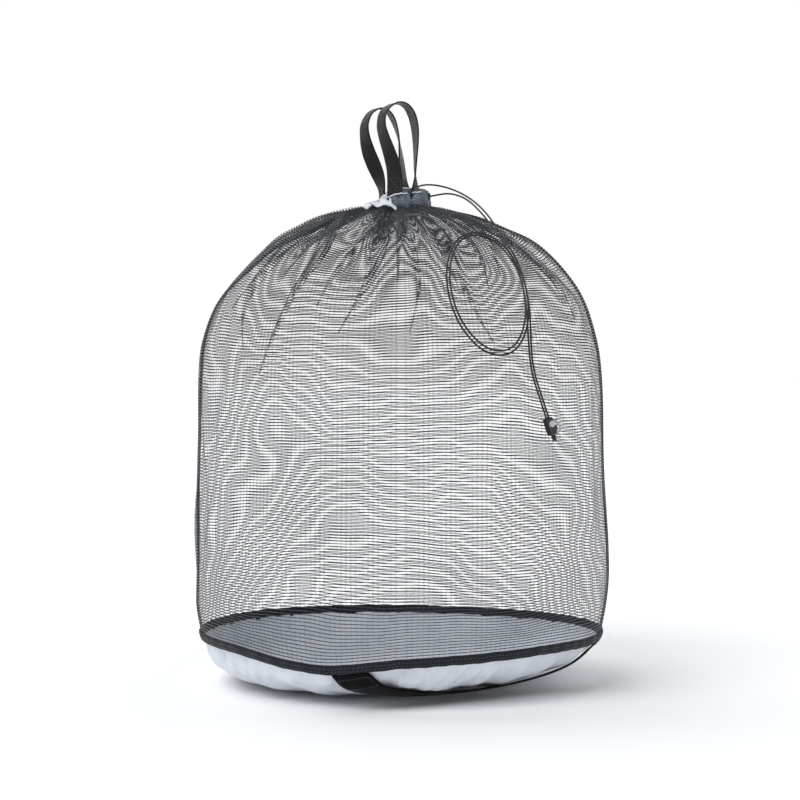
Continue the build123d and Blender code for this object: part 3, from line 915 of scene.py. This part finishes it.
def make_binding(tape, thread):
    phi = np.linspace(0, TURN, BINDING_ROUND, endpoint=False)[:, None]
    ripple = 0.0005 * np.sin(61 * phi + 2 * np.sin(9 * phi)) + 0.0004 * np.sin(27 * phi)
    off, up = np.array(BINDING_PROFILE).T
    height = BASE_TOP + up + seam_lift(phi) + 0.6 * ripple
    verts = around_axis(SEAM_R + off + ripple, phi, height)
    new_piece("seam_binding", ring_tube(verts), tape, ["base_binding"],
              uv=grid_uv(up, phi * SEAM_R))
    loop = np.append(np.arange(BINDING_ROUND), 0)
    out = around_axis(1.0, phi[:, 0], -0.15)[loop]
    rows = [stitches(verts[loop, i] + out * CLEAR, out, 0.0028, 0.00036, 0.0014) for i in (2, 3)]
    add_stitches("binding_stitches", rows, thread)


STRAP_WIDTH, STRAP_THICK = 0.025, 0.0016
STRAP_FROM, STRAP_TO = math.radians(256), math.radians(349)
STRAP_ROWS, STRAP_COLUMNS = 220, 13
STRAP_BOXES, STRAP_BOX_ROWS = (3, 207), 10  # rows where the two boxes of stitches begin


def base_below(x, y, out):
    """Points on the base's outside, or out from it, under points of the plan."""
    shape = (*x.shape, 3)
    x, y = x.ravel(), y.ravel()
    beyond = np.hypot(x[:, None] - BASE[:, 2], y[:, None]) - BASE[:, 1]
    place = np.array([np.interp(0.0, -row, BASE_SHARES) for row in beyond])
    phi = np.arctan2(y, x - np.interp(place, BASE_SHARES, BASE[:, 2]))
    facing = base_out(phi, place)
    return (base_at(phi, place) + facing * out).reshape(shape), facing.reshape(shape)


def make_strap(webbing, thread):
    half_turn = (STRAP_TO - STRAP_FROM) / 2
    middle = STRAP_FROM + half_turn
    off = SEAM_R * math.cos(half_turn)
    over = np.linspace(-1, 1, STRAP_COLUMNS)
    across = off + over * STRAP_WIDTH / 2
    reach = np.sqrt((SEAM_R - 0.0004) ** 2 - across**2)
    along = np.linspace(-1, 1, STRAP_ROWS)[:, None] * reach
    x = across * math.cos(middle) - along * math.sin(middle)
    y = across * math.sin(middle) + along * math.cos(middle)
    outer, out = base_below(x, y, STRAP_THICK)
    inner, _ = base_below(x, y, 0.0002)
    outer = outer + out * (0.0004 * (1 - over**2))[:, None]
    new_piece("base_strap", closed_sheet(inner, outer), webbing, ["bottom_grab_strap"],
              uv=sheet_uv(across - off, along))
    last = STRAP_BOX_ROWS - 1
    lines = [(first + row, slice(1, 12)) for first in STRAP_BOXES for row in (0, last)]
    lines += [(slice(first, first + STRAP_BOX_ROWS), column)
              for column in (1, 11) for first in STRAP_BOXES]
    rows = [stitches(outer[at] + out[at] * CLEAR, out[at], 0.0022, 0.0004, 0.0009) for at in lines]
    add_stitches("base_strap_stitches", rows, thread, ["bottom_strap_stitching"])


# ---- gathered neck -------------------------------------------------------------------------
NECK_ROUND, NECK_SIDES = 540, 72
PLAIN_SECTION = [  # radius and height round the casing where a cord comes out of its side
    (0.0272, 0.4680), (0.0280, 0.4720), (0.0281, 0.4780), (0.0279, 0.4840), (0.0277, 0.4880),
    (0.0268, 0.4897), (0.0250, 0.4899), (0.0235, 0.4899), (0.0220, 0.4898), (0.0209, 0.4888),
    (0.0205, 0.4850), (0.0204, 0.4780), (0.0205, 0.4720), (0.0225, 0.4690), (0.0250, 0.4682),
]
COLLAR_SECTION = [  # and where it stands out in front of the sewn ends of the webbing
    (0.0292, 0.4660), (0.0315, 0.4705), (0.0328, 0.4760), (0.0322, 0.4815), (0.0312, 0.4850),
    (0.0300, 0.4862), (0.0288, 0.4856), (0.0270, 0.4886), (0.0240, 0.4896), (0.0212, 0.4886),
    (0.0205, 0.4850), (0.0204, 0.4780), (0.0205, 0.4720), (0.0225, 0.4690), (0.0255, 0.4672),
]
EXIT_SIDE = math.radians(-7.3)
EXIT_TOP = math.radians(68)
NECK_FOOT = 0.466
SLUMP_MIDDLE = math.radians(-165)


def calm_near(theta, middle, inner, outer):
    """0 within inner of an angle, 1 beyond outer, in radians."""
    return rise(np.abs(turn_from(theta, middle)), inner, outer - inner)


def slumped(theta, height):
    """Heights in the neck, pressed down where it leans over at the front left."""
    share = 0.44 * (1 - calm_near(theta, SLUMP_MIDDLE, 0.5, 1.4))
    return NECK_FOOT + (height - NECK_FOOT) * (1 - share)


def neck_ruffle(theta):
    """Gathered pleats round the casing, from -1 to 1."""
    return (0.6 * np.sin(17 * theta + 1.5 * np.sin(3 * theta))
            + 0.4 * np.sin(29 * theta + 2.1 * np.sin(4 * theta + 1)))


def make_casing(material):
    theta = np.linspace(0, TURN, NECK_ROUND, endpoint=False)[:, None]
    plain, collar = (catmull([*section, section[0]], NECK_SIDES + 1)[:-1].T
                     for section in (PLAIN_SECTION, COLLAR_SECTION))
    share = calm_near(theta, EXIT_SIDE, 0.30, 0.62)
    radius, height = (a * (1 - share) + b * share for a, b in zip(plain, collar))
    outside = rise(radius, 0.024, 0.005)
    calm = outside * calm_near(theta, EXIT_SIDE, 0.12, 0.35)
    calm_top = calm_near(theta, EXIT_TOP, 0.16, 0.36)
    ruffle = neck_ruffle(theta + 3.0 * (height - 0.478)) * calm
    low = 0.0012 * np.sin(6 * theta + 1) + 0.0008 * np.sin(13 * theta)
    height = height + low * calm * calm_top - 0.0012 * np.abs(ruffle) * (height > 0.482)
    verts = around_axis(radius + 0.0017 * ruffle, theta, slumped(theta, height))
    new_piece("neck_ruffle", ring_tube(verts), material, ["neck_casing"],
              uv=grid_uv(theta * 0.05, np.arange(NECK_SIDES) * 0.0009))


FACING_SECTION = [  # radius and height of the lining, from inside the neck to outside its rim
    (0.0188, 0.4660), (0.0192, 0.4740), (0.0196, 0.4820), (0.0199, 0.4880), (0.0208, 0.4905),
    (0.0225, 0.4910), (0.0242, 0.4908),
]
SPILL_SECTION = [  # the same where it spills out over the left of the neck
    (0.0188, 0.4660), (0.0196, 0.4760), (0.0208, 0.4850), (0.0240, 0.4895), (0.0310, 0.4890),
    (0.0400, 0.4850), (0.0510, 0.4780), (0.0640, 0.4700),
]
SPILL_MIDDLE, SPILL_HALF = math.radians(-139), math.radians(28)
SPILL_TURN = 0.56  # how far its loose edge has slid round towards the front
FACING_ROUND, FACING_UP = 420, 60
FACING_HALF_WALL = 0.0005


def crumple(theta, s):
    """Sharp-edged creases, by summing folded waves."""
    total = np.zeros(np.broadcast(theta, s).shape)
    for turns, climb, phase, height in (
        (9, 7, 0.3, 1.0), (14, -11, 1.7, 0.7), (23, 16, 2.9, 0.5), (37, -25, 0.8, 0.3),
        (52, 31, 4.0, 0.2),
    ):
        total = total + height * (np.abs(np.sin(turns * theta / 2 + climb * s / 2 + phase)) - 0.6)
    return total


def make_facing(material):
    theta = np.linspace(0, TURN, FACING_ROUND, endpoint=False)[None]
    s = np.linspace(0, 1, FACING_UP)[:, None]
    share = 1 - calm_near(theta, SPILL_MIDDLE, 0.45 * SPILL_HALF, SPILL_HALF)
    share = share * (0.8 + 0.2 * np.sin(11 * theta + 1))
    plain, spill = catmull(FACING_SECTION, FACING_UP), catmull(SPILL_SECTION, FACING_UP)
    radius, settled = (a[:, None] * (1 - share) + b[:, None] * share
                       for a, b in zip(plain.T, spill.T))
    loose = 0.2 + 0.8 * share * rise(s, 0.2, 0.4)
    radius = radius + 0.0014 * crumple(theta, s * 3) * loose
    height = settled + 0.0011 * crumple(theta + 1, s * 3 + 1) * loose * rise(s, 0, 0.3)
    ragged = 0.0022 * np.sin(19 * theta + 2 * np.sin(5 * theta)) * share * rise(s, 0.7, 0.3)
    dome = PROFILE[PROFILE_STEPS // 2:][::-1]
    on_net = np.interp(radius, dome[:, 0], dome[:, 1]) + 0.0045
    lies = rise(radius, 0.031, 0.012) * share
    height = slumped(theta, height) * (1 - lies) + (on_net + height - settled) * lies + ragged
    centre = around_axis(radius, theta + SPILL_TURN * share * rise(s, 0.35, 0.6), height)
    round_it = np.concatenate([centre[:, -1:], centre, centre[:, :1]], 1)
    around = np.gradient(round_it, axis=1)[:, 1:-1]
    wall = unit(np.cross(around, np.gradient(centre, axis=0))) * FACING_HALF_WALL
    verts, faces, ring, on = ring_sheet(centre + wall, centre - wall)
    count = len(verts) // 2
    low = np.stack([on, ring, ring + count, on + count], -1)
    new_piece("neck_lining", (verts, [np.concatenate([faces, low])]), material,
              ["neck_facing"])


PIPING_POINTS, PIPING_R = 90, 0.0007


def make_piping(material):
    """The lining's rolled edge: a white line along the rim in front of the webbing."""
    step = np.arange(PIPING_POINTS)
    taper = np.minimum(1, np.minimum(step, step[::-1]) / 12 + 0.25)
    wobble = np.repeat((taper * (1 + 0.14 * np.sin(step * 0.9)))[:, None], 10, 1)
    for name, start, end in (("front", -116, -78), ("right", -71, -50)):
        theta = np.radians(np.linspace(start, end, PIPING_POINTS))
        ruffle = neck_ruffle(theta)
        radius = 0.0318 + 0.0005 * ruffle + 0.0003 * np.sin(40 * theta)
        height = 0.4862 + 0.0008 * np.sin(6 * theta + 1) - 0.0003 * np.abs(ruffle)
        height = slumped(theta, height + 0.0002 * np.sin(31 * theta))
        shape = tube(around_axis(radius, theta, height), PIPING_R, 10, wobble)
        new_piece(f"neck_piping_{name}", shape, material)


EYELETS = {  # node: middle, and the way that it faces
    "cord_exit_eyelet_top": ((0.00896, 0.0221, 0.4905), (0.0, 0.0, 1.0)),
    "cord_exit_eyelet_side": ((0.0285, -0.0036, 0.4842), (1.0, 0.0, 0.0)),
}
EYELET_RING_R, EYELET_CORE_R, EYELET_THREAD_R = 0.00245, 0.00062, 0.00022
EYELET_TURNS = 34


def make_eyelets(material):
    """Buttonholes: tight turns of thread wound over a ring."""
    t = np.linspace(0, TURN, EYELET_TURNS * 10)[:, None]
    wind = EYELET_TURNS * t
    for node, (middle, facing) in EYELETS.items():
        side = unit(np.cross(facing, (0.31, 0.9, 0.2)))
        ring = np.cos(t) * side + np.sin(t) * np.cross(facing, side)
        core = middle + ring * EYELET_RING_R
        wound = core + EYELET_CORE_R * (ring * np.cos(wind) + np.array(facing) * np.sin(wind))
        shape = join_parts([tube(wound, EYELET_THREAD_R, 6), tube(core, EYELET_CORE_R)])
        new_piece(node + "_stitched", shape, material, [node])


# ---- webbing handles -----------------------------------------------------------------------
WEBBING_WIDTH, WEBBING_THICK = 0.015, 0.0016
# Each handle from its left end to its right: x, y, z, and how far the webbing is turned about
# its own line, in degrees. At 0 its width runs from front to back, and at 90 across.
FRONT_HANDLE = [
    (-0.0065, -0.0284, 0.4775, 76), (-0.0064, -0.0275, 0.4850, 80), (-0.0062, -0.0238, 0.4940, 86),
    (-0.0064, -0.0222, 0.5030, 84), (-0.0078, -0.0220, 0.5130, 72), (-0.0118, -0.0220, 0.5265, 57),
    (-0.0168, -0.0220, 0.5410, 44), (-0.0196, -0.0220, 0.5530, 35), (-0.0180, -0.0220, 0.5650, 28),
    (-0.0110, -0.0220, 0.5722, 14), (-0.0020, -0.0220, 0.5748, -4), (0.0058, -0.0220, 0.5712, -20),
    (0.0112, -0.0220, 0.5622, -28), (0.0140, -0.0220, 0.5500, -27), (0.0148, -0.0220, 0.5360, -20),
    (0.0146, -0.0220, 0.5230, -12), (0.0143, -0.0222, 0.5100, -5), (0.0143, -0.0228, 0.5000, 4),
    (0.0146, -0.0240, 0.4910, 24), (0.0148, -0.0250, 0.4840, 46), (0.0149, -0.0256, 0.4775, 58),
]
REAR_HANDLE = [
    (-0.0192, 0.0222, 0.4775, 36), (-0.0192, 0.0219, 0.4850, 22), (-0.0196, 0.0219, 0.4930, 26),
    (-0.0212, 0.0220, 0.5000, 42), (-0.0242, 0.0220, 0.5090, 62), (-0.0285, 0.0220, 0.5195, 72),
    (-0.0330, 0.0220, 0.5310, 62), (-0.0364, 0.0220, 0.5450, 42), (-0.0368, 0.0220, 0.5575, 32),
    (-0.0318, 0.0220, 0.5685, 20), (-0.0230, 0.0220, 0.5736, 6), (-0.0150, 0.0220, 0.5722, -8),
    (-0.0090, 0.0220, 0.5650, -16), (-0.0048, 0.0220, 0.5545, -11), (-0.0020, 0.0220, 0.5430, -2),
    (-0.0004, 0.0220, 0.5310, 10), (0.0008, 0.0220, 0.5190, 20), (0.0018, 0.0220, 0.5070, 27),
    (0.0028, 0.0222, 0.4980, 34), (0.0036, 0.0240, 0.4900, 55), (0.0040, 0.0268, 0.4840, 74),
    (0.0041, 0.0282, 0.4775, 82),
]
HANDLE_POINTS = 420
WEBBING_SECTION = [  # place across the webbing, and thickness there, in shares
    (-1, 0.35), (-0.97, 0.8), (-0.9, 1.0), (-0.6, 0.93), (-0.3, 0.95), (0, 0.96), (0.3, 0.95),
    (0.6, 0.93), (0.9, 1.0), (0.97, 0.8), (1, 0.35),
]
BOX_LOW, BOX_HIGH, BOX_HALF = 0.4876, 0.5010, 0.0058
BOX_CORNERS = [(-1, 0), (1, 0), (1, 1), (-1, 1), (-1, 0), (1, 1), (1, 0), (-1, 1)]


def webbing_frames(stations):
    """Points along a handle with the directions of its width and of its face."""
    line = catmull(stations, HANDLE_POINTS)
    path, angle = line[:, :3], np.radians(line[:, 3:])
    along = unit(np.gradient(path, axis=0))
    depth = unit(np.array([0, 1.0, 0]) - along * along[:, 1:2])
    width = np.cos(angle) * depth + np.sin(angle) * np.cross(along, depth)
    return path, width, np.cross(width, along)


def bend(piece):
    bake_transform(piece)


def make_webbing(body, frames, material):
    path, width, face = (values[:, None] for values in frames)
    s, swell = np.array(WEBBING_SECTION).T[..., None]
    across = s * WEBBING_WIDTH / 2
    middle = path + width * across + face * s**2 * 0.0003
    half = face * swell * WEBBING_THICK / 2
    piece = new_piece(f"webbing_{body}", closed_sheet(middle + half, middle - half), material,
                      [f"{body}_loop", f"{body}_end_left", f"{body}_end_right"], None,
                      sheet_uv(across.T, distances(frames[0])[:, None]))
    bend(piece)


def box_stitch(path, width, face):
    """A rectangle of stitches with a cross in it, on both faces of a leg."""
    order = np.argsort(path[:, 2])
    rows = []
    for side in (1, -1):
        for (a, low), (b, high) in zip(BOX_CORNERS, BOX_CORNERS[1:]):
            t = np.linspace(0.03, 0.97, 16)
            height = BOX_LOW + (low + (high - low) * t) * (BOX_HIGH - BOX_LOW)
            at, wide, out = (read_at(height, path[order, 2], values[order])
                             for values in (path, width, face))
            out = side * unit(out)
            across = ((a + (b - a) * t) * BOX_HALF)[:, None]
            line = at + unit(wide) * across + out * WEBBING_THICK * 0.53
            rows.append(stitches(line, out, 0.0019, 0.00033, 0.0005))
    return rows


def make_handles(webbing, thread):
    half = HANDLE_POINTS // 2
    for body, stations in (("handle_front", FRONT_HANDLE), ("handle_rear", REAR_HANDLE)):
        frames = webbing_frames(stations)
        make_webbing(body, frames, webbing)
        rows = []
        for leg in (slice(half), slice(half, None)):
            rows += box_stitch(*(values[leg] for values in frames))
        bend(add_stitches(f"{body}_box_stitches", rows, thread, ["handle_stitching"],
                          None))


# ---- end knot, spring, and the cord inside the casing --------------------------------------
KNOT_MIDDLE = (0.14215, -0.15265, 0.2511)
LOCK_AXES = np.array([  # across the lock, into it from the button, and up the strands
    (0.718839, 0.581059, 0.381629), (-0.621035, 0.783443, -0.023067),
    (-0.312388, -0.220424, 0.924028),
])
TAIL_POINTS = 16
SPRING_TURNS = 2
SPRING_WIRE_R = 0.00014
INNER_CORD_R, INNER_CORD_HEIGHT = 0.024, 0.483


def make_knot(material):
    """Both strands tied together in one small overhand knot, with two cut ends below it."""
    t = np.linspace(0, TURN, 220, endpoint=False)
    loop = np.stack([0.00062 * (np.sin(t) + 2 * np.sin(2 * t)), -0.00078 * np.sin(3 * t),
                     0.00050 * (np.cos(t) - 2 * np.cos(2 * t))], -1)
    loop = np.concatenate([loop, loop[:2]])
    parts = [tube(KNOT_MIDDLE + loop @ LOCK_AXES, 0.0008, 10)]
    fray = np.repeat(np.linspace(1, 1.14, TAIL_POINTS)[:, None], 10, 1)
    for side in (-1, 1):
        tail = catmull([(0.0006 * side, 0, -0.0005), (0.0012 * side, 0.0003, -0.0024),
                        (0.0015 * side, -0.0002 * side, -0.0040)], TAIL_POINTS)
        parts.append(tube(KNOT_MIDDLE + tail @ LOCK_AXES, 0.0009, 10, fray))
    return new_piece("end_knot_tied", join_parts(parts), material, ["cord_end_knot"])


def make_spring(material):
    """The coil behind the lock's button, which is squashed against the end of its bore."""
    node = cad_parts["cord_lock_spring"]
    solid = np.array([v.co for v in node.data.vertices]) @ LOCK_AXES.T
    low, high = solid.min(axis=0), solid.max(axis=0)
    x, _, z = (low + high) / 2
    turn = np.linspace(0, TURN * SPRING_TURNS, 48 * SPRING_TURNS + 1)
    radius = (high[2] - low[2]) / 2 - SPRING_WIRE_R
    depth = np.linspace(low[1] + SPRING_WIRE_R, high[1] - SPRING_WIRE_R, len(turn))
    line = np.stack([x + radius * np.cos(turn), depth, z + radius * np.sin(turn)], -1)
    piece = new_piece("lock_spring_coil", tube(line @ LOCK_AXES, SPRING_WIRE_R, 10), material,
                      ["cord_lock_spring"], "cord_lock")
    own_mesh(piece)
    return piece


def make_inner_cord(material):
    theta = np.radians(np.linspace(78, 352, 400))
    path = around_axis(INNER_CORD_R, theta, slumped(theta, INNER_CORD_HEIGHT))
    new_piece("drawcord_inside", braided(path, CORD_D / 2), material,
              ["drawcord_in_casing"])


# ---- studio --------------------------------------------------------------------------------
FLOOR_RINGS, FLOOR_SIDES = [0.3, 1.0, 3.0, 12.0], 96
FLOOR_HEIGHT = -0.0004
WORLD_STRENGTH = 0.44
LIGHTS = [  # name, the way that it comes from, how wide it looks in degrees, and its strength
    ("key", (-1.5, -1.7, 2.4), 40, 1.5),
    ("fill", (1.8, -2.2, 1.0), 70, 0.55),
    ("top", (-1.1, 1.1, 2.0), 45, 1.0),
    ("rim", (1.2, 2.2, 1.2), 50, 0.45),
]


def make_floor():
    side = np.arange(FLOOR_SIDES)
    rings = around_axis(np.array(FLOOR_RINGS)[:, None], side * TURN / FLOOR_SIDES, FLOOR_HEIGHT)
    verts = np.concatenate([[(0, 0, FLOOR_HEIGHT)], rings.reshape(-1, 3)])
    fan = np.stack([0 * side, 1 + side, 1 + (side + 1) % FLOOR_SIDES], -1)
    rest = grid_faces(len(FLOOR_RINGS), FLOOR_SIDES, wrap_columns=True, first=1)[:, ::-1]
    new_piece("floor", (verts, [fan, rest]), floor_material(), body=None,
                       smooth=False)


def make_world():
    """Soft light from all sides, seen by the camera as a white backdrop."""
    world = bpy.data.worlds.new("studio")
    bpy.context.scene.world = world
    world.use_nodes = True
    tree = world.node_tree
    light = tree.nodes["Background"]
    light.inputs["Color"].default_value = (0.94, 0.97, 1.0, 1)
    light.inputs["Strength"].default_value = WORLD_STRENGTH
    backdrop, seen, mix = (tree.nodes.new("ShaderNode" + kind)
                           for kind in ("Background", "LightPath", "MixShader"))
    backdrop.inputs["Color"].default_value = (1, 1, 1, 1)
    for i, output in enumerate((seen.outputs["Is Camera Ray"], light.outputs[0],
                                backdrop.outputs[0])):
        tree.links.new(output, mix.inputs[i])
    tree.links.new(mix.outputs[0], tree.nodes["World Output"].inputs["Surface"])


def make_studio():
    make_floor()
    bpy.context.scene.view_settings.view_transform = "Standard"
    make_world()
    for name, place, width, strength in LIGHTS:
        data = bpy.data.lights.new(name, "SUN")
        data.angle = math.radians(width)
        data.energy = strength
        lamp = new_object(name, data)
        lamp.location = place
        lamp.rotation_euler = (-Vector(place)).to_track_quat("-Z", "Y").to_euler()


# ---- everything ----------------------------------------------------------------------------
make_camera()
cord_look = cord_material()
cords = make_cords(cord_look)
knot = make_knot(cord_look)
make_inner_cord(cord_look)
spring = make_spring(plated_material("spring_wire", (0.62, 0.62, 0.64), 0.22, 2600))
lock_parts = ["cord_lock_housing", "cord_lock_button", "cord_lock_ring"]

lock_looks = (
    moulded_material("lock_gloss", (0.008, 0.008, 0.010), 0.26, 2600, 0.3),
    moulded_material("button_silver", (0.50, 0.51, 0.54), 0.38, 3400, 0.2),
    plated_material("nickel_ring", (0.47, 0.48, 0.51), 0.18, 1800),
)
for node_name, look in zip(lock_parts, lock_looks):
    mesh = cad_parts[node_name].data
    mesh.materials.clear()
    mesh.materials.append(look)

black_thread = thread_material("black_thread", (0.018, 0.019, 0.023))
net_look = net_material()
make_net(net_look)
make_tucks(net_look)
make_side_seams(ribbed_tape_material("seam_grosgrain", 0.0011), black_thread)
make_base(base_material())
make_binding(ribbed_tape_material("binding_grosgrain", 0.0012), black_thread)
# the strap is a darker copy of the handle webbing (tone 0.25 against 0.45): painted shade under the
# bag
make_strap(webbing_material("strap_twill_painted_shade", 0.25, 0.0), black_thread)
make_casing(casing_material())
facing_look = facing_material()
make_facing(facing_look)
make_piping(facing_look)
make_eyelets(black_thread)
make_handles(webbing_material("handle_twill", 0.45, 0.8), black_thread)
make_studio()
